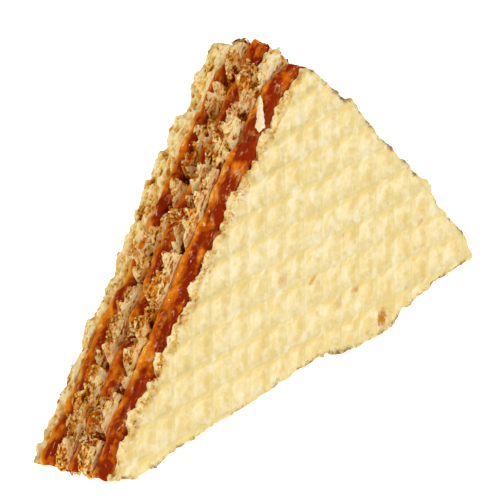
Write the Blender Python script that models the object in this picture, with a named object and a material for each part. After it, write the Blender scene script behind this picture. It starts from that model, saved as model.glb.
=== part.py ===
"""A quarter of a square cream filled wafer: four crisp wafer sheets with three layers of caramel coloured
cream between them. It stands on its long edge, waffle face to the front (-Y), cut side up to the left."""

import math

import bmesh
import bpy
from mathutils import Vector, noise

# The triangle seen from the front, as (x, z) of its sharp corners
LEFT_CORNER = (-0.0497, 0.0024)
APEX = (0.0056, 0.0536)
RIGHT_CORNER = (0.0500, 0.0057)

# The waffle: square cells between thin ribs, with sloping walls down to a flat floor
CELL = 0.005
RIB = 0.0005
WALL = 0.0009
CELL_DEPTH = 0.0005
WAFFLE_TILT = math.radians(-2.35)
RIB_CROSSING = (-0.0225, 0.0272)
CELLS_LEFT, CELLS_RIGHT = 6, 16
CELLS_DOWN, CELLS_UP = 6, 6
CELLS_IN_FACET = 2

# The layers from front to back: name, thickness low down, thickness near the apex, kind
LAYERS = (
    ("front_wafer_sheet", 0.0015, 0.0016, "sheet"),
    ("front_cream", 0.0028, 0.0027, "cream"),
    ("inner_wafer_front", 0.0018, 0.0023, "sheet"),
    ("middle_cream", 0.0022, 0.0022, "cream"),
    ("inner_wafer_back", 0.0024, 0.0019, "sheet"),
    ("back_cream", 0.0026, 0.0015, "cream"),
    ("back_wafer_sheet", 0.0022, 0.0041, "sheet"),
)
THICKENING_FROM, THICKENING_TO = 0.012, 0.040
HALF_DEPTH = 0.00815
GAP = 0.0003
WAVE_HEIGHT = 0.00022
WAVE_LENGTH = 0.031

# Slow bends of the edges: stations of (distance up the cut or down the leg, offset outward), and of
# (x, lift off the ground) along the base, which rests on two flat stretches
CUT_BOW = ((0.0, 0.0), (0.025, 0.0003), (0.052, 0.0014), (0.075, 0.0012))
LEG_BOW = (
    (0.004, -0.0023), (0.014, -0.0013), (0.018, -0.0001), (0.026, -0.0005), (0.038, 0.0002),
    (0.046, 0.0011), (0.0495, 0.0008), (0.0515, -0.0004), (0.058, 0.0003), (0.0655, 0.0),
)
BASE_LIFT = (
    (-0.050, 0.0024), (-0.0445, 0.0006), (-0.042, 0.0), (-0.038, 0.0), (-0.033, 0.0009), (0.007, 0.0020),
    (0.013, 0.0006), (0.017, 0.0), (0.026, 0.0), (0.030, 0.0016), (0.041, 0.0032), (0.050, 0.0035),
)
LEG_STARTS_AT = 0.0045

# What each layer has of its own: its blunt crest near the apex, as (x, z) from the cut to the leg, and its
# chips, as (distance up the cut, half width, offset outward)
CRESTS = {
    "front_wafer_sheet": ((0.0039, 0.0504), (0.0052, 0.0502), (0.0061, 0.0494)),
    "front_cream": ((0.0034, 0.0500), (0.0046, 0.0500), (0.0059, 0.0490)),
    "inner_wafer_front": ((0.0031, 0.0522), (0.0042, 0.0507), (0.0056, 0.0496)),
    "middle_cream": ((0.0027, 0.0526), (0.0036, 0.0531), (0.0046, 0.0514), (0.0060, 0.0498)),
    "inner_wafer_back": ((0.0020, 0.0531), (0.0029, 0.0536), (0.0040, 0.0516), (0.0058, 0.0500)),
    "back_cream": ((0.0019, 0.0511), (0.0034, 0.0510), (0.0056, 0.0498)),
    "back_wafer_sheet": ((0.0009, 0.0508), (0.0027, 0.0517), (0.0044, 0.0512), (0.0062, 0.0499)),
}
CHIPS = {
    "front_wafer_sheet": ((0.012, 0.002, -0.0006), (0.031, 0.002, -0.0007), (0.055, 0.003, -0.0009)),
    "front_cream": ((0.001, 0.004, 0.0003), (0.021, 0.003, -0.0007), (0.062, 0.003, -0.0008)),
    "inner_wafer_front": ((0.016, 0.002, -0.0016), (0.0365, 0.0015, -0.0010), (0.057, 0.003, 0.0007)),
    "middle_cream": ((0.011, 0.002, -0.0014), (0.023, 0.002, -0.0012), (0.052, 0.003, -0.0012)),
    "inner_wafer_back": ((0.027, 0.0018, 0.0008), (0.047, 0.002, -0.0012), (0.060, 0.002, -0.0014)),
    "back_cream": ((0.018, 0.002, 0.0005), (0.032, 0.003, -0.0009), (0.050, 0.003, -0.0005)),
    "back_wafer_sheet": ((0.001, 0.005, -0.0012), (0.020, 0.0025, 0.0006), (0.0615, 0.0032, -0.0019)),
}

# The broken edges: spacing of the outline's points, size and depth of the crags, and the share of a
# layer's thickness at which each outline lies
CUT_STEP, LEG_STEP, BASE_STEP = 0.0017, 0.0022, 0.0028
CRAG_SIZE = {"sheet": 0.0032, "cream": 0.0060}
CRAG_DEPTH = {"sheet": 0.0008, "cream": 0.0006}
RIM_CRAG_DEPTH = 0.0004
CREAM_BULGE = 0.0004
EDGE_LEVELS = {"sheet": (0.0, 0.33, 0.67, 1.0), "cream": (0.0, 0.5, 1.0)}
CUTTER_OVERHANG = 0.0012
CREST_BLEND = 0.007

FINISHES = {
    "pale_wafer": ((0.86, 0.73, 0.40, 1.0), 0.75),
    "toasted_wafer": ((0.62, 0.42, 0.19, 1.0), 0.85),
    "caramel_cream": ((0.42, 0.10, 0.012, 1.0), 0.25),
}


def clear_scene():
    for existing in list(bpy.data.objects):
        bpy.data.objects.remove(existing, do_unlink=True)


def collection_named(name):
    collection = bpy.data.collections.new(name)
    bpy.context.scene.collection.children.link(collection)
    return collection


def finish_named(name):
    colour, roughness = FINISHES[name]
    material = bpy.data.materials.new(name)
    material.use_nodes = True
    shader = material.node_tree.nodes["Principled BSDF"]
    shader.inputs["Base Color"].default_value = colour
    shader.inputs["Roughness"].default_value = roughness
    shader.inputs["Metallic"].default_value = 0.0
    material.diffuse_color = colour
    return material


def ease(share):
    share = min(max(share, 0.0), 1.0)
    return share * share * (3.0 - 2.0 * share)


def through_stations(stations, position):
    """The value at a position, eased from one station to the next."""
    value = stations[0][1]
    for (start, low), (end, high) in zip(stations, stations[1:]):
        if position > start:
            value = low + (high - low) * ease((position - start) / (end - start))
    return value


def interface_depth(interface, x, z):
    """How far back (y) the face in front of the layer with this index lies, at a place on the triangle."""
    upward = ease((z - THICKENING_FROM) / (THICKENING_TO - THICKENING_FROM))
    depth = sum(low + (high - low) * upward for _, low, high, _ in LAYERS[:interface])
    if 0 < interface < len(LAYERS):
        turn = 2.0 * math.pi / WAVE_LENGTH
        depth += WAVE_HEIGHT * math.sin(turn * (x + 0.6 * z) + 2.1 * interface)
        depth += WAVE_HEIGHT * math.sin(turn * (0.5 * x - 1.1 * z) + 1.3 * interface)
    return depth - HALF_DEPTH


def face_depth(index, side, x, z):
    """The depth of a layer's front (side 0) or back (side 1) face, half a gap inside the interface."""
    interface = index + side
    inset = GAP / 2 if 0 < interface < len(LAYERS) else 0.0
    return interface_depth(interface, x, z) + inset * (1 - 2 * side)


def add_waffle_grid(bm, cells_in_square):
    """Adds an upright grid of squares of one or more cells, lined up with the ribs of the waffle."""
    columns, rows = CELLS_LEFT + CELLS_RIGHT, CELLS_DOWN + CELLS_UP
    cos, sin = math.cos(WAFFLE_TILT), math.sin(WAFFLE_TILT)
    grid = bmesh.ops.create_grid(
        bm, x_segments=columns // cells_in_square, y_segments=rows // cells_in_square, size=0.5
    )
    for vert in grid["verts"]:
        across = ((vert.co.x + 0.5) * columns - CELLS_LEFT) * CELL
        up = ((vert.co.y + 0.5) * rows - CELLS_DOWN) * CELL
        vert.co.x = RIB_CROSSING[0] + across * cos - up * sin
        vert.co.y = 0.0
        vert.co.z = RIB_CROSSING[1] + across * sin + up * cos
    bm.normal_update()


def press_cells(bm, faces, inward):
    """Presses a shallow cell with sloping walls into each square and leaves the ribs standing."""
    bmesh.ops.inset_individual(bm, faces=faces, thickness=RIB / 2, use_even_offset=True)
    bmesh.ops.inset_individual(bm, faces=faces, thickness=WALL, use_even_offset=True)
    for vert in {vert for face in faces for vert in face.verts}:
        vert.co.y += inward * CELL_DEPTH


def add_layer_face(bm, index, side):
    """Adds a layer's front or back face over the whole grid, with cells where it is an outer face."""
    older = set(bm.verts)
    outer = index + side in (0, len(LAYERS))
    add_waffle_grid(bm, 1 if outer else CELLS_IN_FACET)
    faces = [face for face in bm.faces if face.verts[0] not in older]
    if outer:
        press_cells(bm, faces, inward=1 - 2 * side)
    else:
        bmesh.ops.triangulate(bm, faces=faces, quad_method="FIXED")
    for vert in bm.verts:
        if vert not in older:
            vert.co.y += face_depth(index, side, vert.co.x, vert.co.z)


def slab_mesh(index):
    """A layer before it is cut and broken: two faces over the whole grid, joined round their rims."""
    bm = bmesh.new()
    add_layer_face(bm, index, side=0)
    add_layer_face(bm, index, side=1)
    bmesh.ops.bridge_loops(bm, edges=[edge for edge in bm.edges if edge.is_boundary])
    bmesh.ops.recalc_face_normals(bm, faces=bm.faces)
    mesh = bpy.data.meshes.new(LAYERS[index][0])
    bm.to_mesh(mesh)
    bm.free()
    return mesh


def crag(distance, size, seed, level):
    return noise.fractal(Vector((distance / size, 7.3 * seed, 1.9 * level)), 1.0, 2.0, 2)


def chip_offset(name, distance):
    return sum(depth * ease(1.0 - abs(distance - centre) / half) for centre, half, depth in CHIPS[name])


def line_frame(start, end):
    """The unit vectors along a line and outward from it, and its length."""
    length = math.dist(start, end)
    along = ((end[0] - start[0]) / length, (end[1] - start[1]) / length)
    return along, (-along[1], along[0]), length


def steps(start, end, step):
    count = round((end - start) / step)
    return [start + (end - start) * number / count for number in range(count)]


def cut_edge(index, level):
    """The cut, from the left corner up to the foot of the layer's crest."""
    name, _, _, kind = LAYERS[index]
    along, out, _ = line_frame(LEFT_CORNER, APEX)
    crest = (CRESTS[name][0][0] - LEFT_CORNER[0], CRESTS[name][0][1] - LEFT_CORNER[1])
    length = crest[0] * along[0] + crest[1] * along[1]
    crest_offset = crest[0] * out[0] + crest[1] * out[1]
    inner_level = 0 < level < len(EDGE_LEVELS[kind]) - 1
    for distance in steps(0.0, length, CUT_STEP):
        offset = through_stations(CUT_BOW, distance)
        offset += (crest_offset - offset) * ease(1.0 - (length - distance) / CREST_BLEND)
        offset += chip_offset(name, distance)
        offset += CRAG_DEPTH[kind] * crag(distance, CRAG_SIZE[kind], index, level)
        offset += CREAM_BULGE if kind == "cream" and inner_level else 0.0
        yield (
            LEFT_CORNER[0] + along[0] * distance + out[0] * offset,
            LEFT_CORNER[1] + along[1] * distance + out[1] * offset,
        )


def leg_edge(index, level):
    """The right edge, from below the crest down to the right corner."""
    along, out, length = line_frame(APEX, RIGHT_CORNER)
    for distance in steps(LEG_STARTS_AT, length, LEG_STEP):
        offset = through_stations(LEG_BOW, distance)
        offset += RIM_CRAG_DEPTH * crag(distance, CRAG_SIZE["sheet"], index + 20, level)
        yield (
            APEX[0] + along[0] * distance + out[0] * offset,
            APEX[1] + along[1] * distance + out[1] * offset,
        )


def base_edge(index, level):
    """The long edge underneath, from the right corner back to the left, flat where it rests."""
    for distance in steps(0.0, RIGHT_CORNER[0] - LEFT_CORNER[0], BASE_STEP):
        x = RIGHT_CORNER[0] - distance
        lift = through_stations(BASE_LIFT, x)
        roughness = RIM_CRAG_DEPTH * crag(distance, CRAG_SIZE["sheet"], index + 40, level)
        yield x, max(0.0, lift + roughness * ease(lift / RIM_CRAG_DEPTH))


def outline(index, level):
    """A layer's whole outline at one level of its thickness, clockwise as seen from the front."""
    points = list(cut_edge(index, level))
    points += CRESTS[LAYERS[index][0]]
    points += leg_edge(index, level)
    points += base_edge(index, level)
    return points


def edge_cutter(index, collection):
    """The ragged prism that a layer's slab is broken to: its outlines, joined level by level."""
    name, _, _, kind = LAYERS[index]
    shares = EDGE_LEVELS[kind]
    bm = bmesh.new()
    rings = []
    for level, share in enumerate(shares):
        ring = []
        for x, z in outline(index, level):
            front, back = face_depth(index, 0, x, z), face_depth(index, 1, x, z)
            ring.append(bm.verts.new((x, front + (back - front) * share, z)))
        rings.append(ring)
    front_plane = min(vert.co.y for vert in rings[0]) - CUTTER_OVERHANG
    back_plane = max(vert.co.y for vert in rings[-1]) + CUTTER_OVERHANG
    for vert in rings[0]:
        vert.co.y = front_plane
    for vert in rings[-1]:
        vert.co.y = back_plane
    for near, far in zip(rings, rings[1:]):
        for this in range(len(near)):
            after = (this + 1) % len(near)
            bm.faces.new((near[this], near[after], far[after], far[this]))
    bm.faces.new(rings[0])
    bm.faces.new(rings[-1])
    bmesh.ops.recalc_face_normals(bm, faces=bm.faces)
    mesh = bpy.data.meshes.new(name + "_edge")
    bm.to_mesh(mesh)
    bm.free()
    cutter = bpy.data.objects.new(name + "_edge", mesh)
    cutter.hide_render = True
    cutter.display_type = "WIRE"
    collection.objects.link(cutter)
    return cutter


def layer_finish(index, finishes):
    """Outer sheets are pale, inner ones show their toasted crumb, and the cream is caramel brown."""
    if LAYERS[index][3] == "cream":
        return finishes["caramel_cream"]
    if index in (0, len(LAYERS) - 1):
        return finishes["pale_wafer"]
    return finishes["toasted_wafer"]


def build_layer(index, finishes, parts, cutters):
    layer = bpy.data.objects.new(LAYERS[index][0], slab_mesh(index))
    layer.data.materials.append(layer_finish(index, finishes))
    parts.objects.link(layer)
    broken = layer.modifiers.new("broken_edges", "BOOLEAN")
    broken.operation = "INTERSECT"
    broken.solver = "EXACT"
    broken.object = edge_cutter(index, cutters)
    return layer


def build_wafer():
    clear_scene()
    parts = collection_named("cream_filled_wafer")
    cutters = collection_named("edge_cutters")
    finishes = {name: finish_named(name) for name in FINISHES}
    for index in range(len(LAYERS)):
        build_layer(index, finishes, parts, cutters)


build_wafer()
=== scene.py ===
import math

import bpy
import numpy as np
from mathutils import Euler, Matrix, Vector, kdtree


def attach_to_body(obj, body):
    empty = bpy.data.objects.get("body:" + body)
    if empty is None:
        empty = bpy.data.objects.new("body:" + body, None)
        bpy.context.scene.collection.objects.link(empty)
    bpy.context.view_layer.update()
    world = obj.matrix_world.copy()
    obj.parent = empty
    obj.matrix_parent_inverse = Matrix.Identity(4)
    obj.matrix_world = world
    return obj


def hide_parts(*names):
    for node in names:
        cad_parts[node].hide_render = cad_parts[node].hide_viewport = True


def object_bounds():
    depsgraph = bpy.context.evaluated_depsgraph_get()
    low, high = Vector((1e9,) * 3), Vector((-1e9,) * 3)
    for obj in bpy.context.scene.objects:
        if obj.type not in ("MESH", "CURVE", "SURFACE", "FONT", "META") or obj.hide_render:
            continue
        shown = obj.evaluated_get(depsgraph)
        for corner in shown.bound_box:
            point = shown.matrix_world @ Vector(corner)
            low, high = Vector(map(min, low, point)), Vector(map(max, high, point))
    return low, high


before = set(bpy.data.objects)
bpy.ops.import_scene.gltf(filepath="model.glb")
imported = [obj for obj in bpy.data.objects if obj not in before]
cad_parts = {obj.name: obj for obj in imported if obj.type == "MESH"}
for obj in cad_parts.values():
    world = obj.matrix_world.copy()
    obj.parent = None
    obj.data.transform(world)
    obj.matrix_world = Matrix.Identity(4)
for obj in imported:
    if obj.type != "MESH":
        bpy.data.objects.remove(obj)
cad_box = [list(corner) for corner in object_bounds()]


# The two outer sheets: baked wafer batter, pale and crisp, pressed with square cells between thin ribs by
# the waffle iron. The filled block is broken into triangles, so every rim is torn, porous and a little toasted.

MM = 0.001
RIB_PITCH = 5.0 * MM
RIB_TILT = math.radians(-2.35)
RIB_CROSSING = (-22.5 * MM, 27.2 * MM)
LEFT_CORNER, APEX, RIGHT_CORNER = (-49.7 * MM, 2.4 * MM), (5.6 * MM, 53.6 * MM), (50.0 * MM, 5.7 * MM)
SIDES = {"cut": (LEFT_CORNER, APEX), "leg": (APEX, RIGHT_CORNER), "base": (RIGHT_CORNER, LEFT_CORNER)}
SHEET_VOXEL = RIB_PITCH / 22
KEPT_OF_HIDDEN = 0.04
COLUMN_STRETCH = 40.0
RIM_REACH = 2.2 * MM
SWAY_REACH, SWAY_SIZE, SWAY_DEPTH = 4.0 * MM, 6.0 * MM, 1.3 * MM
CORNER_BLEND = 1.5 * MM
TORN_BESIDE_CUT = 0.3
SKIN = 0.9 * MM


def welded_copy(node, name):
    """A layer of the frame as a piece of its own, its loose triangles merged, and nothing else selected."""
    piece = bpy.data.objects.new(name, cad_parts[node].data.copy())
    piece.data.name = name
    bpy.context.scene.collection.objects.link(piece)
    piece.data.materials.clear()
    bpy.ops.object.select_all(action="DESELECT")
    bpy.context.view_layer.objects.active = piece
    piece.select_set(True)
    bpy.ops.object.mode_set(mode="EDIT")
    bpy.ops.mesh.select_all(action="SELECT")
    bpy.ops.mesh.remove_doubles(threshold=0.001 * MM)
    bpy.ops.object.mode_set(mode="OBJECT")
    return piece


def apply_modifier(piece, kind, **settings):
    """Adds a modifier to the active piece and applies it."""
    modifier = piece.modifiers.new(kind.lower(), kind)
    for setting, value in settings.items():
        setattr(modifier, setting, value)
    bpy.ops.object.modifier_apply(modifier=modifier.name)


def points_of(piece, what="co"):
    """The places or the normals of a piece's points, one row each."""
    rows = np.empty(len(piece.data.vertices) * 3, np.float32)
    piece.data.vertices.foreach_get(what, rows)
    return rows.reshape(-1, 3)


def move_points(piece, rows):
    piece.data.vertices.foreach_set("co", rows.astype(np.float32).ravel())
    piece.data.update()


def side_frame(side):
    """The matrix that lays a side of the triangle along X with its outward direction up."""
    (x0, z0), (x1, z1) = SIDES[side]
    return Matrix.Rotation(math.atan2(z1 - z0, x1 - x0), 4, "Y") @ Matrix.Translation((-x0, 0.0, -z0))


def inward_of(rows):
    """How far inside each of the three sides every point lies."""
    depths = {}
    for side in SIDES:
        to_side = np.array(side_frame(side))
        depths[side] = -(rows @ to_side[2, :3] + to_side[2, 3])
    return depths


def along_side(rows, side):
    """How far along a side each point lies, and the direction that points outwards from that side."""
    to_side = np.array(side_frame(side))
    return rows @ to_side[0, :3] + to_side[0, 3], to_side[2, :3]


def weigh(piece, group, weights):
    """Makes a vertex group with one weight for each point."""
    made = piece.vertex_groups.new(name=group)
    for index in np.flatnonzero(weights > 0.01):
        made.add([int(index)], float(weights[index]), "REPLACE")


def keep_values(piece, name, values):
    """Stores one value for each point, for the material to read."""
    attribute = piece.data.attributes.new(name, "FLOAT", "POINT")
    attribute.data.foreach_set("value", np.asarray(values, np.float32))


def near_rim(piece, reach=RIM_REACH):
    """How near each point is to the torn rim: 1 on it and 0 further in."""
    rows, facing = points_of(piece), points_of(piece, "normal")
    seeds = np.flatnonzero(np.abs(facing[:, 1]) < 0.6)
    tree = kdtree.KDTree(len(seeds))
    for seed in seeds:
        tree.insert(rows[seed], int(seed))
    tree.balance()
    distance = np.array([tree.find(row)[2] for row in rows])
    return np.clip(1.0 - distance / reach, 0.0, 1.0)


def sway_rim(piece):
    """Lets the layers wander to and fro near the torn rim, all alike, so that neighbours still meet."""
    rows = points_of(piece)
    inward = np.array(list(inward_of(rows).values())).min(axis=0)
    share = np.clip(1.0 - inward / SWAY_REACH, 0.0, 1.0)
    between_faces = 1.0 - np.clip(np.abs(rows[:, 1]) / cad_box[1][1], 0.0, 1.0) ** 6
    weigh(piece, "sway", share * share * (3.0 - 2.0 * share) * between_faces)
    roughen(piece, "sway", "Y", SWAY_SIZE, SWAY_DEPTH)


def thin_hidden(piece, hidden):
    """Collapses the faces whose points are all marked hidden, between two layers, where nothing shows."""
    bpy.ops.object.mode_set(mode="EDIT")
    bpy.ops.mesh.select_all(action="DESELECT")
    bpy.ops.object.mode_set(mode="OBJECT")
    piece.data.vertices.foreach_set("select", hidden)
    bpy.ops.object.mode_set(mode="EDIT")
    bpy.ops.mesh.select_mode(type="VERT")
    bpy.ops.mesh.decimate(ratio=KEPT_OF_HIDDEN)
    bpy.ops.object.mode_set(mode="OBJECT")


def roughen(piece, group, direction, size, depth, mid=0.5, stretch=1.0, detail=1, **settings):
    """Presses soft noise into a piece in one direction, as deep as the weights of the group allow."""
    texture = bpy.data.textures.new(f"{piece.name}_{group}", "CLOUDS")
    texture.noise_scale, texture.noise_depth = size, detail
    for setting, value in settings.items():
        setattr(texture, setting, value)
    bpy.ops.object.select_all(action="DESELECT")
    bpy.ops.object.empty_add()
    guide = bpy.context.object
    guide.scale = (stretch, 1.0, 1.0 if direction == "Y" else COLUMN_STRETCH)
    bpy.context.view_layer.update()
    bpy.ops.object.select_all(action="DESELECT")
    bpy.context.view_layer.objects.active = piece
    piece.select_set(True)
    apply_modifier(
        piece, "DISPLACE", texture=texture, texture_coords="OBJECT", texture_coords_object=guide, strength=depth,
        mid_level=mid, vertex_group=group, direction=direction,
    )
    bpy.data.objects.remove(guide)


def tear_sides(piece, weights, reliefs):
    """Digs one relief after another into each side of the rim, straight inwards, deepest at the cut."""
    inward = inward_of(points_of(piece))
    nearest = np.array(list(inward.values())).min(axis=0)
    for side in SIDES:
        share = np.clip(1.0 - (inward[side] - nearest) / CORNER_BLEND, 0.0, 1.0)
        weigh(piece, side, weights * share * (1.0 if side == "cut" else TORN_BESIDE_CUT))
        turn = side_frame(side)
        piece.data.transform(turn)
        for relief in reliefs:
            roughen(piece, side, "Z", **relief)
        piece.data.transform(turn.inverted())


def finish_piece(piece, material, smooth=True):
    """Keeps a piece in the frame's box and gives it its shading, its material and its place in the model."""
    move_points(piece, np.clip(points_of(piece), np.array(cad_box[0]), np.array(cad_box[1])))
    if smooth:
        bpy.ops.object.shade_smooth()
    piece.data.materials.append(material)
    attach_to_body(piece, "root")


def finish_layer(piece, node, material, before, facing):
    """Stores how deep a layer was dug, in millimetres, finishes it and hides the frame's part for its node."""
    keep_values(piece, "dug", ((before - points_of(piece)) * facing).sum(axis=1) / MM)
    finish_piece(piece, material)
    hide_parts(node)


class Socket:
    """A node's output in a material, with Python's operators for the maths between such outputs."""

    def __init__(self, tree, output=None):
        self.tree, self.output = tree, output

    def node(self, kind, settings, inputs, out=0):
        """Adds a node, its settings first, feeds its sockets and returns one of its outputs."""
        made = self.tree.nodes.new("ShaderNode" + kind)
        for setting, value in settings.items():
            if setting == "stops":
                ramp = made.color_ramp
                while len(ramp.elements) < len(value):
                    ramp.elements.new(0.5)
                for element, (position, colour) in zip(ramp.elements, value):
                    element.position, element.color = position, (*colour, 1.0)
            else:
                setattr(made, setting, value)
        for name, value in inputs.items():
            if isinstance(value, Socket):
                self.tree.links.new(value.output, made.inputs[name])
            else:
                made.inputs[name].default_value = value
        return Socket(self.tree, made.outputs[out])

    def maths(self, operation, *others):
        return self.node("Math", {"operation": operation}, dict(enumerate((self, *others))))

    def __add__(self, other):
        return self.maths("ADD", other)

    def __sub__(self, other):
        return self.maths("SUBTRACT", other)

    def __rsub__(self, other):
        return self.node("Math", {"operation": "SUBTRACT"}, {0: other, 1: self})

    def __mul__(self, other):
        return self.maths("MULTIPLY", other)

    __radd__, __rmul__ = __add__, __mul__

    def span(self, low, high):
        """0 at low and 1 at high, eased in between and held outside."""
        settings = {"interpolation_type": "SMOOTHSTEP"}
        return self.node("MapRange", settings, {"Value": self, "From Min": low, "From Max": high})

    def between(self, first, second):
        """The colour that this share of the way from the first to the second gives."""
        colours = {0: self}
        for name, colour in ((6, first), (7, second)):
            colours[name] = colour if isinstance(colour, Socket) else (*colour, 1.0)
        return self.node("Mix", {"data_type": "RGBA"}, colours, out=2)

    def noise(self, size, detail=2.0, roughness=0.5):
        """Soft noise at these coordinates, with features of about this size."""
        return self.node(
            "TexNoise", {}, {"Vector": self, "Scale": 1.0 / size, "Detail": detail, "Roughness": roughness}
        )


def new_material(name, roughness, **constants):
    """A Principled material, with its node tree ready to be extended from its shader."""
    material = bpy.data.materials.new(name)
    material.use_nodes = True
    shader = material.node_tree.nodes["Principled BSDF"]
    shader.inputs["Roughness"].default_value = roughness
    for socket, value in constants.items():
        shader.inputs[socket.replace("_", " ")].default_value = value
    return material, shader, Socket(material.node_tree)


def attach(shader, socket, value):
    value.tree.links.new(value.output, shader.inputs[socket])


# A whiter cream for painted highlights on the face.
PAINTED_HIGHLIGHT = (0.97, 0.88, 0.64)
PALE_BATTER = (0.95, 0.83, 0.53)
BATTER = (0.84, 0.66, 0.28)
# A yellow that is partly baked colour and partly painted shade, for the cell walls that face away from the light.
BAKED_YELLOW_AND_SHADE = (0.77, 0.58, 0.19)
RIB_GREEN = (0.68, 0.57, 0.27)
SCORCHED = (0.52, 0.20, 0.01)
TOASTED_EDGE = (0.30, 0.15, 0.04)
TOASTED_FACE = (0.72, 0.46, 0.14)
CRUMB_COLOURS = (
    (0.0, (0.11, 0.010, 0.0002)), (0.24, (0.34, 0.072, 0.002)), (0.46, (0.62, 0.27, 0.026)),
    (0.70, (0.85, 0.57, 0.15)), (1.0, (0.98, 0.82, 0.43)),
)


def along_cut(place, stretch):
    """Coordinates that run with the layers at the cut, for marks that are drawn out that way."""
    rise, run = APEX[1] - LEFT_CORNER[1], APEX[0] - LEFT_CORNER[0]
    turn = {"Rotation": (0.0, -math.atan2(rise, run), 0.0), "Scale": (stretch, 1.0, 1.0)}
    return place.node("Mapping", {"vector_type": "TEXTURE"}, {"Vector": place, **turn})


SCORCH_MARKS = (
    (-0.4, 28.9, 0.7, 0.7), (-8.7, 35.0, 0.5, 1.0), (13.6, 19.6, 1.0, 0.7), (11.6, 9.2, 1.4, 0.3),
    (16.1, 9.8, 1.2, 0.6), (4.7, 15.0, 1.3, 0.8), (-3.2, 18.0, 1.6, 0.35), (23.7, 2.5, 2.2, 1.0),
    (23.3, 2.9, 1.3, 1.0), (19.5, 1.6, 0.9, 0.7), (35.0, 14.5, 1.2, 0.4), (30.4, 5.1, 1.0, 0.4),
)
RIB_WANDER = 0.07


def waffle_distance(start, place, along, up):
    """The distance from the nearest rib, in pitches from -0.5 to 0.5, across one set of ribs."""
    x, _, z = (start.node("SeparateXYZ", {}, {"Vector": place}, out) for out in range(3))
    pitches = ((x - RIB_CROSSING[0]) * along + (z - RIB_CROSSING[1]) * up) * (1.0 / RIB_PITCH)
    return pitches - pitches.maths("ROUND")


def pale_wafer():
    """Pale baked batter: yellower on the cell walls beside the ribs, partly its baked colour and partly painted shade
    on the walls that face away from the light; whiter in patches, which are painted highlights; and brown crumb where
    it is broken, painted darker where it is dug in.
    """
    material, shader, start = new_material("pale_wafer", 0.7, Specular_IOR_Level=0.05)
    place = start.node("TexCoord", {}, {}, "Object")
    wander = place.noise(3.0 * MM) - 0.5
    tilt_cos, tilt_sin = math.cos(RIB_TILT), math.sin(RIB_TILT)
    across = waffle_distance(start, place, tilt_cos, tilt_sin) + wander * RIB_WANDER
    upward = waffle_distance(start, place, -tilt_sin, tilt_cos) + wander * RIB_WANDER
    blotch = place.noise(5.0 * MM, 3.0, 0.6).span(0.35, 0.65)
    mottle = place.noise(1.6 * MM, 3.0, 0.6)
    grain = place.noise(0.5 * MM, 3.0, 0.7)
    # Painted shade: the right-hand wall and the top wall of each cell face away from the light, so they are painted
    # yellower and darker. This is partly the batter's baked colour and partly shade.
    shaded_side_wall = (across + 0.19).maths("ABSOLUTE").span(0.2, 0.04) * mottle.span(0.25, 0.6) * 0.7
    shaded_upper_wall = (upward + 0.11).maths("ABSOLUTE").span(0.22, 0.03)
    rib = across.maths("ABSOLUTE").span(0.07, 0.015).maths("MAXIMUM", upward.maths("ABSOLUTE").span(0.08, 0.015))
    baked = blotch * 0.4 + mottle.span(0.35, 0.65) * 0.55 + grain.span(0.3, 0.7) * 0.35
    colour = baked.between(PALE_BATTER, BATTER)
    colour = (shaded_side_wall.maths("MAXIMUM", shaded_upper_wall) * (0.6 + blotch * 0.3)).between(colour, BAKED_YELLOW_AND_SHADE)
    colour = (rib * (0.28 + blotch * 0.35)).between(colour, RIB_GREEN)
    # Painted highlights: whiter patches over the face.
    colour = (place.noise(2.2 * MM, 2.0, 0.5).span(0.5, 0.75) * 0.6).between(colour, PAINTED_HIGHLIGHT)
    for x, z, radius, strength in SCORCH_MARKS:
        middle, reach = (x * MM, cad_box[0][1], z * MM), radius * MM
        spot = place.node("VectorMath", {"operation": "DISTANCE"}, {0: place, 1: middle}, "Value")
        ragged = spot + (grain - 0.5) * reach * 1.6
        colour = (ragged.span(reach, reach * 0.3) * strength).between(colour, SCORCHED)
    from_cut = start.node("Attribute", {"attribute_name": "from_cut"}, {}, "Fac")
    toasted = from_cut.span(3.2, 0.3) * (mottle + (grain - 0.5) * 0.6).span(0.46, 0.6)
    colour = (toasted * 0.8).between(colour, TOASTED_FACE)
    rim = start.node("Attribute", {"attribute_name": "rim"}, {}, "Fac")
    dug = start.node("Attribute", {"attribute_name": "dug"}, {}, "Fac")
    flecks = place.noise(0.35 * MM, 2.0, 0.6)
    streaks = along_cut(place, 3.0).noise(0.5 * MM, 3.0, 0.6)
    patch = place.noise(4.0 * MM, 3.0, 0.6)
    # Painted shade: the broken crumb at the rim is darker where it is dug in.
    level = 0.71 - dug * 0.6 + (grain - 0.5) * 0.7 + (flecks - 0.5) * 0.7
    level = level + (streaks - 0.5) * 1.3 + (patch - 0.5) * 1.3
    broken = level.node("ValToRGB", {"stops": CRUMB_COLOURS}, {"Fac": level}, "Color")
    cut = start.node("Attribute", {"attribute_name": "cut"}, {}, "Fac")
    edge = (patch + (flecks - 0.5) * 0.5).span(0.45, 0.65).between(BATTER, TOASTED_EDGE)
    broken = cut.between(edge, broken)
    colour = (rim + (grain - 0.5) * 0.5).span(0.55, 0.9).between(colour, broken)
    attach(shader, "Base Color", colour)
    height = grain * 0.6 + place.noise(0.18 * MM, 2.0) * 0.4
    attach(shader, "Normal", start.node("Bump", {}, {"Strength": 0.6, "Distance": 0.15 * MM, "Height": height}))
    return material


PALE_WAFER = pale_wafer()


BROKEN_BACK = (
    (0.0, -0.6), (6.0, -0.2), (11.0, 0.0), (15.0, -0.9), (25.0, -0.8), (37.0, -1.0), (42.0, -1.1), (47.0, -0.9),
    (52.0, -1.1), (57.0, -1.9), (61.0, -3.3), (67.0, -2.8), (72.0, -1.6), (75.4, -0.9),
)
BROKEN_REACH = 9.0 * MM
BROKEN_SKIN = 3.0 * MM
HIDDEN = 0.05


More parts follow.
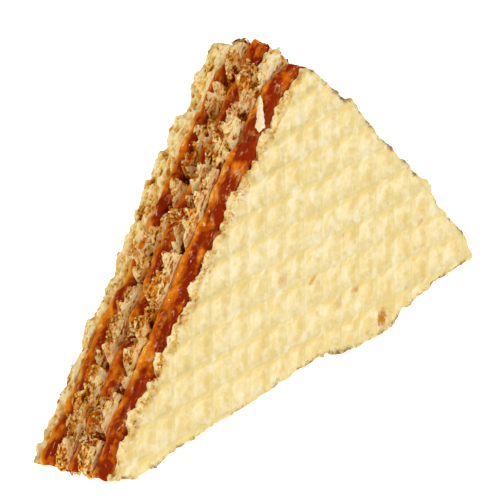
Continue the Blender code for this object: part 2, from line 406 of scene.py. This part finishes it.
def push_cut(piece, stretches, reach, share=1.0):
    """Pushes the cut rim outwards by so many millimetres at each place along it, and less further in."""
    rows = points_of(piece)
    along, outward = along_side(rows, "cut")
    places, heights = np.array(stretches).T * MM
    fade = np.clip(1.0 - inward_of(rows)["cut"] / reach, 0.0, 1.0)
    move_points(piece, rows + (np.interp(along, places, heights) * share * fade)[:, None] * outward)


def outer_sheet(node, name, outer_y, broken_back=()):
    """An outer sheet: resampled with its ribs along the sampling lattice, then torn at the rim."""
    piece = welded_copy(node, name)
    crossing = Vector((RIB_CROSSING[0], outer_y, RIB_CROSSING[1]))
    to_lattice = Matrix.Rotation(RIB_TILT, 4, "Y") @ Matrix.Translation(-crossing)
    piece.data.transform(to_lattice)
    apply_modifier(piece, "REMESH", mode="VOXEL", voxel_size=SHEET_VOXEL)
    piece.data.transform(to_lattice.inverted())
    near = near_rim(piece)
    thin_hidden(piece, (near < HIDDEN) & (np.abs(points_of(piece)[:, 1] - outer_y) > SKIN))
    if broken_back:
        push_cut(piece, broken_back, BROKEN_REACH)
    apply_modifier(piece, "SMOOTH", factor=0.5, iterations=6)
    before, facing = points_of(piece), points_of(piece, "normal")
    near = near_rim(piece)
    weigh(piece, "all_over", np.ones(len(near)))
    inner = 1.0 if outer_y < 0.0 else -1.0
    roughen(piece, "all_over", "Y", 4.0 * MM, 0.35 * MM * inner, mid=0.2, detail=2)
    roughen(piece, "all_over", "Y", 0.8 * MM, 0.22 * MM * inner, mid=0.2, detail=2)
    sway_rim(piece)
    inward = inward_of(points_of(piece))
    from_cut = inward["cut"] - inward["cut"][near > 0.95].min()
    keep_values(piece, "from_cut", from_cut / MM)
    to_cut = (np.minimum(inward["leg"], inward["base"]) - inward["cut"]) / CORNER_BLEND
    keep_values(piece, "cut", np.clip(to_cut, 0, 1))
    if broken_back:
        weigh(piece, "broken_skin", np.clip(1.3 - from_cut / BROKEN_SKIN, 0, 1))
        roughen(piece, "broken_skin", "Y", 1.1 * MM, 0.8 * MM * inner, mid=0.4, contrast=2.0, detail=2)
    outer_skin = np.clip(1.0 - np.abs(points_of(piece)[:, 1] - outer_y) / SKIN, 0, 1)
    tear_sides(piece, np.clip(near * 1.6 - 0.2, 0, 1) * (1.0 - 0.6 * outer_skin), (
        {"size": 3.2 * MM, "depth": 0.6 * MM, "detail": 2},
        {"size": 0.8 * MM, "depth": -0.5 * MM, "mid": 0.35, "stretch": 6.0, "noise_type": "HARD_NOISE"},
        {"size": 0.35 * MM, "depth": 0.3 * MM, "stretch": 1.6, "detail": 2},
        {"size": 0.7 * MM, "depth": 0.5 * MM, "mid": 1.0, "stretch": 2.5, "contrast": 5.0, "intensity": 1.9},
    ))
    keep_values(piece, "rim", near)
    finish_layer(piece, node, PALE_WAFER, before, facing)
    return piece


front_sheet = outer_sheet("front_wafer_sheet", "crisp_front_sheet", cad_box[0][1], BROKEN_BACK)
back_sheet = outer_sheet("back_wafer_sheet", "crisp_back_sheet", cad_box[1][1])


# The two inner sheets: the same wafer, but only their broken edges show. There the porous crumb lies between
# two thin skins, toasted tan, pitted with pores that are painted darker where they are dug in, as shade, and dusted
# with pale flakes.

SMEARED = (0.80, 0.30, 0.010)
SMEARED_DEEP = (0.42, 0.060, 0.001)
PALE_SKIN = (0.95, 0.78, 0.42)


def toasted_wafer():
    """Toasted crumb: tan, drawn out along the cut, painted darker where it is dug in as shade in its pits, and
    smeared with caramel in places.
    """
    material, shader, start = new_material("toasted_wafer", 0.8, Specular_IOR_Level=0.05)
    place = start.node("TexCoord", {}, {}, "Object")
    drawn = along_cut(place, 2.2)
    dug = start.node("Attribute", {"attribute_name": "dug"}, {}, "Fac")
    patch = place.noise(4.0 * MM, 3.0, 0.6)
    grain = place.noise(0.5 * MM, 3.0, 0.7)
    flecks = place.noise(0.28 * MM, 2.0, 0.6)
    streaks = drawn.noise(0.6 * MM, 3.0, 0.6)
    skin = start.node("Attribute", {"attribute_name": "skin"}, {}, "Fac")
    # Painted shade: the crumb is darker where it is dug in.
    level = 0.70 - dug.maths("MAXIMUM", 0.0) * 0.95 + (grain - 0.5) * 1.2 + (flecks - 0.5) * 1.1 + (skin - 0.5) * 0.4
    level = level + (streaks - 0.5) * 3.2 + (patch - 0.5) * 2.0
    colour = level.node("ValToRGB", {"stops": CRUMB_COLOURS}, {"Fac": level}, "Color")
    smeared = drawn.noise(1.6 * MM, 3.0, 0.6).span(0.48, 0.60)
    smear_colour = (streaks + (grain - 0.5) * 0.5).span(0.35, 0.6).between(SMEARED_DEEP, SMEARED)
    colour = (smeared * 0.8).between(colour, smear_colour)
    pale_line = (skin + (streaks - 0.5) * 1.5).span(0.85, 1.1)
    attach(shader, "Base Color", (pale_line * 0.6).between(colour, PALE_SKIN))
    height = grain * 0.6 + place.noise(0.2 * MM, 2.0) * 0.4
    attach(shader, "Normal", start.node("Bump", {}, {"Strength": 0.8, "Distance": 0.2 * MM, "Height": height}))
    return material


TOASTED_WAFER = toasted_wafer()
VOXEL = 0.2 * MM
RIM_STEP, RIM_WINDOW = 0.4 * MM, 31
RIM_SEARCH = 5.0 * MM
RIM_STRAIGHTENED = 0.8


def inner_layer(node, name, reach=RIM_REACH):
    """A layer between others: resampled, and thinned where its neighbours hide it."""
    piece = welded_copy(node, name)
    apply_modifier(piece, "REMESH", mode="VOXEL", voxel_size=VOXEL)
    thin_hidden(piece, near_rim(piece, reach) < HIDDEN)
    return piece


def across_layer(piece, near):
    """Where each point near the rim lies between the layer's two faces, from -1 at the front one to 1."""
    rows, facing = points_of(piece), points_of(piece, "normal")
    front = np.flatnonzero((facing[:, 1] < -0.9) & (near > 0.0))
    back = np.flatnonzero((facing[:, 1] > 0.9) & (near > 0.0))
    trees = []
    for face in (front, back):
        tree = kdtree.KDTree(len(face))
        for index in face:
            tree.insert((rows[index][0], 0.0, rows[index][2]), int(index))
        tree.balance()
        trees.append(tree)
    share = np.zeros(len(rows))
    for index in np.flatnonzero(near > 0.0):
        flat = (rows[index][0], 0.0, rows[index][2])
        low = rows[trees[0].find(flat)[1]][1]
        high = rows[trees[1].find(flat)[1]][1]
        share[index] = 2.0 * (rows[index][1] - low) / (high - low) - 1.0
    return np.clip(share, -1.0, 1.0)


def straighten_cut(piece, near, share):
    """Draws each face's rim most of the way to its mean line along the cut, so that no large teeth stand out."""
    rows = points_of(piece)
    along, outward = along_side(rows, "cut")
    depth = inward_of(rows)["cut"]
    marks = np.arange(along.min(), along.max() + RIM_STEP, RIM_STEP)
    window = np.ones(RIM_WINDOW) / RIM_WINDOW
    shifts = []
    for half in (-1.0, 1.0):
        torn = np.flatnonzero((near > 0.5) & (depth < RIM_SEARCH) & (share * half > 0.2))
        slots = np.searchsorted(marks, along[torn]).clip(0, len(marks) - 1)
        rim = np.full(len(marks), np.nan)
        for slot in np.unique(slots):
            rim[slot] = depth[torn][slots == slot].min()
        rim = np.interp(marks, marks[~np.isnan(rim)], rim[~np.isnan(rim)])
        mean_line = np.convolve(np.pad(rim, RIM_WINDOW // 2, "edge"), window, "valid")
        shifts.append(np.interp(along, marks, rim - mean_line))
    shift = shifts[0] + (shifts[1] - shifts[0]) * (share + 1.0) / 2
    move_points(piece, rows + (shift * near * (depth < RIM_SEARCH) * RIM_STRAIGHTENED)[:, None] * outward)


CAVITIES = (
    (6.0, -3.2, 1.1, 0.5, 1.3), (13.2, -3.2, 2.4, 0.6, 1.8), (18.2, -3.4, 1.3, 0.55, 1.4), (31.5, 0.9, 1.6, 0.5, 1.4),
    (39.0, -3.0, 1.4, 0.5, 1.3), (53.1, 0.9, 2.2, 0.6, 1.8), (63.6, 0.8, 1.0, 0.55, 1.4),
)
CUT_REACH = 3.0 * MM


def press_cavities(piece):
    """Sinks the larger cavities into the cut: each a place along and across it, its half sizes and its depth."""
    rows = points_of(piece)
    along, outward = along_side(rows, "cut")
    near_surface = np.clip(1.0 - inward_of(rows)["cut"] / CUT_REACH, 0.0, 1.0)
    sunk = np.zeros(len(rows))
    for cavity in CAVITIES:
        place, level, half_length, half_width, depth = np.array(cavity) * MM
        distance = ((along - place) / half_length) ** 2 + ((rows[:, 1] - level) / half_width) ** 2
        sunk += depth * np.clip(1.2 - distance, 0.0, 1.0)
    move_points(piece, rows - (sunk * near_surface)[:, None] * outward)


def inner_sheet(node, name, pushed=()):
    """An inner sheet: its rim straightened at the cut, then torn into porous crumb."""
    piece = inner_layer(node, name)
    near = near_rim(piece)
    share = across_layer(piece, near)
    straighten_cut(piece, near, share)
    apply_modifier(piece, "SMOOTH", factor=0.5, iterations=2)
    before, facing = points_of(piece), points_of(piece, "normal")
    sway_rim(piece)
    torn = np.clip(near * 1.8 - 0.6, 0, 1)
    tear_sides(piece, torn, (
        {"size": 5.0 * MM, "depth": 0.8 * MM, "mid": 0.6, "detail": 2},
        {"size": 0.9 * MM, "depth": -0.7 * MM, "mid": 0.35, "stretch": 4.0, "noise_type": "HARD_NOISE"},
        {"size": 0.5 * MM, "depth": 0.35 * MM, "stretch": 2.0, "detail": 2},
        {"size": 0.8 * MM, "depth": 1.3 * MM, "mid": 1.0, "stretch": 2.2, "contrast": 5.0, "intensity": 1.85},
    ))
    tear_sides(piece, torn * np.clip(1.25 - 1.5 * np.abs(share), 0, 1), (
        {"size": 0.9 * MM, "depth": 0.5 * MM, "mid": 0.6, "stretch": 3.0, "detail": 2},
        {"size": 1.0 * MM, "depth": 1.6 * MM, "mid": 1.0, "stretch": 4.0, "contrast": 5.0, "intensity": 1.9},
    ))
    press_cavities(piece)
    if pushed:
        push_cut(piece, pushed, CUT_REACH, np.clip(near * 1.5, 0, 1))
    keep_values(piece, "skin", np.abs(share))
    finish_layer(piece, node, TOASTED_WAFER, before, facing)
    return piece


inner_front = inner_sheet("inner_wafer_front", "crisp_inner_sheet_front")
inner_back = inner_sheet(
    "inner_wafer_back", "crisp_inner_sheet_back", ((34.0, 0.0), (42.0, -0.7), (55.0, -1.0), (70.0, -0.9), (75.4, 0.0))
)


# The three fillings: soft caramel coloured cream, spread between the sheets. At the cut it was dragged
# along, so it stands out in glossy strands and lips. Its colour runs from orange to dark red, and painted light and
# shade add to that: lighter on the back side of each strand, darker on its front side and where it is dug in.

# The lightest caramel colour is for lips that are lit, so it is partly painted light.
CARAMEL_LIT_LIP = (0.96, 0.55, 0.09)
CARAMEL_ORANGE = (0.82, 0.28, 0.010)
CARAMEL = (0.68, 0.15, 0.002)
CARAMEL_DEEP = (0.28, 0.018, 0.0003)
WAFER_FILM = (0.88, 0.52, 0.16)
CREAM_MEETS_SHEET = 0.3 * MM


def caramel_cream():
    """Glossy caramel cream between orange and dark red, with painted light and shade: lighter toward the back side of
    each strand, darker where it is dug in; with thin films of wafer dust.
    """
    material, shader, start = new_material(
        "caramel_cream", 0.4, Specular_IOR_Level=0.03, Subsurface_Weight=0.3, Subsurface_Scale=1.0, Coat_Weight=0.4,
        Coat_Roughness=0.04,
    )
    shader.inputs["Subsurface Radius"].default_value = (1.6 * MM, 0.5 * MM, 0.12 * MM)
    place = start.node("TexCoord", {}, {}, "Object")
    dug = start.node("Attribute", {"attribute_name": "dug"}, {}, "Fac")
    lip = start.node("Attribute", {"attribute_name": "lip"}, {}, "Fac")
    patch = place.noise(3.5 * MM, 3.0, 0.6)
    grain = place.noise(0.7 * MM, 3.0, 0.6)
    strands = along_cut(place, 3.0).noise(1.4 * MM, 2.0, 0.5)
    # Painted light and shade: lighter toward the back side of each strand, darker toward its front side and where it
    # is dug in.
    level = 0.29 - dug.maths("MAXIMUM", 0.0) * 0.18 + lip * 0.40
    level = level + (patch - 0.5) * 1.7 + (strands - 0.5) * 1.3 + (grain - 0.5) * 0.6
    colour = level.node(
        "ValToRGB",
        {"stops": ((0.15, CARAMEL_DEEP), (0.5, CARAMEL), (0.75, CARAMEL_ORANGE), (1.0, CARAMEL_LIT_LIP))},
        {"Fac": level},
        "Color",
    )
    film = along_cut(place, 2.0).noise(1.1 * MM, 4.0, 0.65).span(0.56, 0.72)
    attach(shader, "Base Color", (film * 0.65).between(colour, WAFER_FILM))
    height = grain * 0.5 + place.noise(0.3 * MM, 2.0, 0.6) * 0.35 + strands * 0.4
    attach(shader, "Normal", start.node("Bump", {}, {"Strength": 0.6, "Distance": 0.35 * MM, "Height": height}))
    return material


CARAMEL_CREAM = caramel_cream()


def filling(node, name, proud, reach=RIM_REACH, pushed=()):
    """A filling: smooth strands at the rim, standing out from the sheets by so much more or less."""
    piece = inner_layer(node, name, reach)
    apply_modifier(piece, "SMOOTH", factor=0.5, iterations=6)
    before, facing = points_of(piece), points_of(piece, "normal")
    near = near_rim(piece)
    share = across_layer(piece, near)
    sway_rim(piece)
    torn = np.clip(near * 1.8 - 0.6, 0, 1)
    tear_sides(piece, torn, (
        {"size": 5.0 * MM, "depth": 1.6 * MM, "mid": 0.5 - proud},
        {"size": 1.3 * MM, "depth": 1.6 * MM, "stretch": 4.0},
        {"size": 0.9 * MM, "depth": 0.6 * MM, "stretch": 1.5},
    ))
    hollow = {"size": 2.5 * MM, "depth": 1.3 * MM, "mid": 1.0, "stretch": 2.0}
    tear_sides(piece, torn * (0.5 - 0.5 * share), (hollow,))
    if pushed:
        push_cut(piece, pushed, CUT_REACH, torn)
    apply_modifier(piece, "SMOOTH", factor=0.5, iterations=3)
    # The place across the layer, for the material to paint the back side of each strand lighter and the front side,
    # shaded by the front sheet, darker.
    keep_values(piece, "lip", np.maximum(share, -0.3))
    move_points(piece, points_of(piece) + points_of(piece, "normal") * CREAM_MEETS_SHEET)
    finish_layer(piece, node, CARAMEL_CREAM, before, facing)
    return piece


filling("front_cream", "front_caramel", 0.05, 5.0 * MM)
middle_filling = filling(
    "middle_cream", "middle_caramel", 0.3, pushed=((12.0, 0.0), (22.0, 0.5), (34.0, 0.7), (50.0, 0.6), (58.0, 0.0))
)
filling(
    "back_cream", "back_caramel", 0.4, pushed=((30.0, 0.0), (42.0, 0.3), (55.0, 0.5), (70.0, 0.6), (75.4, 0.4))
)


# The crumbs: bits of wafer that broke off at the cut and stuck to the caramel and to the sheets, and small
# beads of caramel that were smeared over the wafer. Each kind is modelled once and scattered over the cut.

CRUMB, FLAKE, BEAD = (1.1, 1.0, 0.6), (3.0, 0.9, 0.45), (1.2, 1.0, 0.7)
CRUMB_FINENESS, CRUMB_LUMPINESS, CRUMB_STANDS_OUT = 2, 1.8, 0.2
FACING_OUT = 0.35
CLEAR_OF_FOOT = 1.0 * MM
STREWN_OVER_FACE = 2.2
BARE_STRETCHES = ((4.5, 12.5), (21.5, 24.5), (41.0, 43.5), (49.0, 52.0), (56.0, 59.0), (67.0, 70.0))
luck = np.random.RandomState(11)


def values_of(piece, name):
    """The values stored in a piece's attribute, one for each point."""
    values = np.empty(len(piece.data.vertices), np.float32)
    piece.data.attributes[name].data.foreach_get("value", values)
    return values


def face_beside_cut(sheet):
    """Points of an outer sheet's waffle face that lie close to its cut rim, with their normals."""
    rows, facing = points_of(sheet), points_of(sheet, "normal")
    outward = facing[:, 1] * np.sign(rows[:, 1].mean())
    beside = (values_of(sheet, "from_cut") < STREWN_OVER_FACE) & (values_of(sheet, "cut") > 0.5)
    chosen = beside & (outward > 0.5)
    return rows[chosen], facing[chosen]


def torn_points(layers, stretches=()):
    """Points of the layers' torn rims that face outward from the cut, with their normals."""
    rows = np.concatenate([points_of(piece) for piece in layers])
    facing = np.concatenate([points_of(piece, "normal") for piece in layers])
    along, outward = along_side(rows, "cut")
    chosen = (facing @ outward > FACING_OUT) & (inward_of(rows)["cut"] < RIM_REACH)
    chosen &= (rows[:, 2] > CLEAR_OF_FOOT) & (np.abs(rows[:, 1]) < cad_box[1][1] - SKIN)
    if stretches:
        chosen &= np.any([(along > first * MM) & (along < last * MM) for first, last in stretches], axis=0)
    return rows[chosen], facing[chosen]


def irregular_bit(name, fineness, lumpiness):
    """Models one lumpy bit of about a metre across, to be scaled down where it goes."""
    bpy.ops.object.select_all(action="DESELECT")
    bpy.ops.mesh.primitive_ico_sphere_add(subdivisions=fineness, radius=1.0)
    bit = bpy.context.object
    texture = bpy.data.textures.new(name, "CLOUDS")
    texture.noise_scale = 0.6
    apply_modifier(bit, "DISPLACE", texture=texture, strength=lumpiness, mid_level=0.5)
    return bit


def scatter(name, count, points, shape, sizes, material, lying=False, smooth=False):
    """Lays copies of an irregular bit, sized by chance between two sizes in millimetres, on some of the points."""
    bit = irregular_bit(name, CRUMB_FINENESS, CRUMB_LUMPINESS)
    rows, facing = points
    least, most = np.array(sizes) * MM
    lay_along = side_frame("cut").inverted().to_quaternion()
    copies = []
    for index in luck.choice(len(rows), count, replace=False):
        size = least + (most - least) * luck.rand() ** 2
        turn = Vector(luck.normal(size=3)).to_track_quat("Z", "Y")
        if lying:
            tilt = Euler((luck.normal() * 0.9, luck.normal() * 0.25, luck.normal() * 0.25))
            turn = lay_along @ tilt.to_quaternion()
        stretch = [size * share * (0.7 + 0.6 * luck.rand()) for share in shape]
        place = Matrix.Translation(rows[index] + facing[index] * size * CRUMB_STANDS_OUT)
        copy = bpy.data.objects.new(name, bit.data.copy())
        copy.data.transform(place @ turn.to_matrix().to_4x4() @ Matrix.Diagonal((*stretch, 1.0)))
        bpy.context.scene.collection.objects.link(copy)
        copies.append(copy)
    bpy.data.objects.remove(bit)
    bpy.ops.object.select_all(action="DESELECT")
    for copy in copies:
        copy.select_set(True)
    bpy.context.view_layer.objects.active = copies[0]
    bpy.ops.object.join()
    piece = bpy.context.object
    piece.name = name
    finish_piece(piece, material, smooth)


def loose_crumb(name, dark, light):
    """Dry broken crumb that varies between two colours."""
    material, shader, start = new_material(name, 0.75, Specular_IOR_Level=0.05)
    place = start.node("TexCoord", {}, {}, "Object")
    share = place.noise(1.1 * MM, 1.0).span(0.35, 0.65) * 0.7 + place.noise(0.25 * MM, 2.0).span(0.3, 0.7) * 0.3
    attach(shader, "Base Color", share.between(dark, light))
    height = place.noise(0.15 * MM, 2.0)
    attach(shader, "Normal", start.node("Bump", {}, {"Strength": 0.5, "Distance": 0.1 * MM, "Height": height}))
    return material


PALE_CRUMB = loose_crumb("pale_crumb", (0.74, 0.40, 0.06), (0.97, 0.80, 0.42))
BROWN_CRUMB = loose_crumb("brown_crumb", (0.36, 0.07, 0.002), (0.86, 0.42, 0.05))
ON_SHEETS = torn_points((front_sheet, inner_front, inner_back, back_sheet))
ON_INNER_SHEETS = torn_points((inner_front, inner_back))
ON_CARAMEL = torn_points((middle_filling,), BARE_STRETCHES)
ON_FACE = face_beside_cut(front_sheet)

for name, count, points, shape, sizes, material, slot in (
    ("pale_crumbs_on_cut", 100, ON_INNER_SHEETS, CRUMB, (0.08, 0.30), PALE_CRUMB, "pale_wafer"),
    ("brown_crumbs_on_cut", 130, ON_SHEETS, CRUMB, (0.08, 0.30), BROWN_CRUMB, "toasted_wafer"),
    ("pale_flakes_on_cut", 130, ON_INNER_SHEETS, FLAKE, (0.06, 0.17), PALE_CRUMB, "pale_wafer"),
    ("brown_flakes_on_cut", 150, ON_INNER_SHEETS, FLAKE, (0.06, 0.17), BROWN_CRUMB, "toasted_wafer"),
    ("caramel_beads_on_cut", 110, ON_INNER_SHEETS, BEAD, (0.08, 0.30), CARAMEL_CREAM, "caramel_cream"),
    ("pale_crumbs_beside_cut", 240, ON_FACE, CRUMB, (0.07, 0.24), PALE_CRUMB, "pale_wafer"),
    ("brown_crumbs_beside_cut", 70, ON_FACE, CRUMB, (0.05, 0.16), BROWN_CRUMB, "toasted_wafer"),
    ("pale_crumbs_on_caramel", 220, ON_CARAMEL, CRUMB, (0.12, 0.36), PALE_CRUMB, "pale_wafer"),
    ("brown_crumbs_on_caramel", 220, ON_CARAMEL, CRUMB, (0.12, 0.34), BROWN_CRUMB, "toasted_wafer"),
):
    scatter(name, count, points, shape, sizes, material, lying=shape == FLAKE, smooth=shape == BEAD)


# The bits that stand out on the cut: near the apex a broken shard of pale wafer in two parts, a white crumb, a
# pale lump of wafer and the drop of caramel that was squeezed out, and lower down a yellow crumb. Each is one
# irregular bit, laid between two places.

PALE_SHARD = loose_crumb("pale_shard", (0.90, 0.73, 0.38), (0.99, 0.91, 0.68))
YELLOW_CRUMB = loose_crumb("yellow_crumb", (0.86, 0.42, 0.01), (0.97, 0.74, 0.12))
PALE_LUMP = loose_crumb("pale_lump", (0.72, 0.49, 0.17), (0.94, 0.82, 0.50))
SINGLE_BIT_FINENESS = 4

for name, start, end, width, thickness, lumpiness, material, slot in (
    ("wafer_shard_upper", (-3.9, -5.3, 47.4), (-6.9, -7.2, 44.7), 0.9, 0.8, 1.2, PALE_SHARD, "pale_wafer"),
    ("wafer_shard_lower", (-5.9, -6.7, 45.3), (-7.8, -7.7, 43.7), 1.3, 1.2, 1.0, PALE_SHARD, "pale_wafer"),
    ("yellow_crumb", (-32.2, -1.1, 19.3), (-30.6, -0.7, 21.0), 1.3, 1.2, 1.0, YELLOW_CRUMB, "pale_wafer"),
    ("white_crumb", (-5.7, -2.1, 44.0), (-4.9, -1.7, 45.0), 1.0, 0.9, 1.2, PALE_SHARD, "pale_wafer"),
    ("caramel_drop", (1.6, -0.9, 50.4), (3.6, -0.9, 53.0), 2.2, 2.2, 0.8, CARAMEL_CREAM, "caramel_cream"),
    ("pale_lump_at_apex", (-0.6, -3.4, 49.0), (3.4, -3.4, 52.6), 2.6, 2.2, 1.3, PALE_LUMP, "pale_wafer"),
):
    piece = irregular_bit(name, SINGLE_BIT_FINENESS, lumpiness)
    start, end = Vector(start) * MM, Vector(end) * MM
    turn = (end - start).to_track_quat("X", "Z").to_matrix().to_4x4()
    scale = Matrix.Diagonal(((end - start).length / 2, width * MM / 2, thickness * MM / 2, 1.0))
    piece.data.transform(Matrix.Translation((start + end) / 2) @ turn @ scale)
    piece.name = name
    finish_piece(piece, material)


# The floor: plain matt white, so wide that it fills the view. It gives off light of its own, so that it stays
# white around the object, and the glossy caramel doesn't mirror it.

FLOOR_SIZE = 8.0

bpy.ops.mesh.primitive_plane_add(size=FLOOR_SIZE)
floor = bpy.context.object
floor.name = "floor"
floor_material, floor_shader, _ = new_material("white_floor", 0.9, Emission_Strength=1.0)
floor_shader.inputs["Base Color"].default_value = (0.5, 0.5, 0.5, 1.0)
floor_shader.inputs["Emission Color"].default_value = (1.0, 1.0, 1.0, 1.0)
floor.data.materials.append(floor_material)
floor.visible_glossy = False


# The light: a bright white room, a soft window high in front of the waffle face and to its right, and a
# reflector high on the left, over the cut side.

ROOM_LIGHT = 0.42
LIGHT_DISTANCE = 1.2

room = bpy.data.worlds.new("white_room")
room.use_nodes = True
room.node_tree.nodes["Background"].inputs["Color"].default_value = (1.0, 1.0, 1.0, 1.0)
room.node_tree.nodes["Background"].inputs["Strength"].default_value = ROOM_LIGHT
room.cycles_visibility.glossy = False
bpy.context.scene.world = room

for name, direction, size, energy in (
    ("window", (0.30, -0.60, 0.75), 0.25, 4.15),
    ("reflector", (-0.70, 0.04, 0.72), 0.28, 4.2),
):
    direction = Vector(direction).normalized()
    bpy.ops.object.light_add(type="AREA", location=direction * LIGHT_DISTANCE)
    light = bpy.context.object
    light.name = name
    light.rotation_euler = direction.to_track_quat("Z", "Y").to_euler()
    light.data.shape = "SQUARE"
    light.data.size = size
    light.data.energy = energy

bpy.context.scene.view_settings.view_transform = "Standard"


# The camera: a long lens on the left, a little above the object and turned a little, so that the waffle face
# and the cut side both show.

CAMERA_PLACE = (-0.70961, -0.49954, 0.35334)
CAMERA_RIGHT = Vector((0.5633544, -0.8253063, -0.0387459))
CAMERA_UP = Vector((0.3164563, 0.1722188, 0.9328430))
FOCAL_LENGTH, SENSOR_WIDTH = 436.4, 36.0

bpy.ops.object.camera_add()
camera = bpy.context.object
camera.name = "camera"
turn = Matrix((CAMERA_RIGHT, CAMERA_UP, CAMERA_RIGHT.cross(CAMERA_UP))).transposed().to_4x4()
camera.matrix_world = Matrix.Translation(CAMERA_PLACE) @ turn
camera.data.lens = FOCAL_LENGTH
camera.data.sensor_width = SENSOR_WIDTH
bpy.context.scene.camera = camera
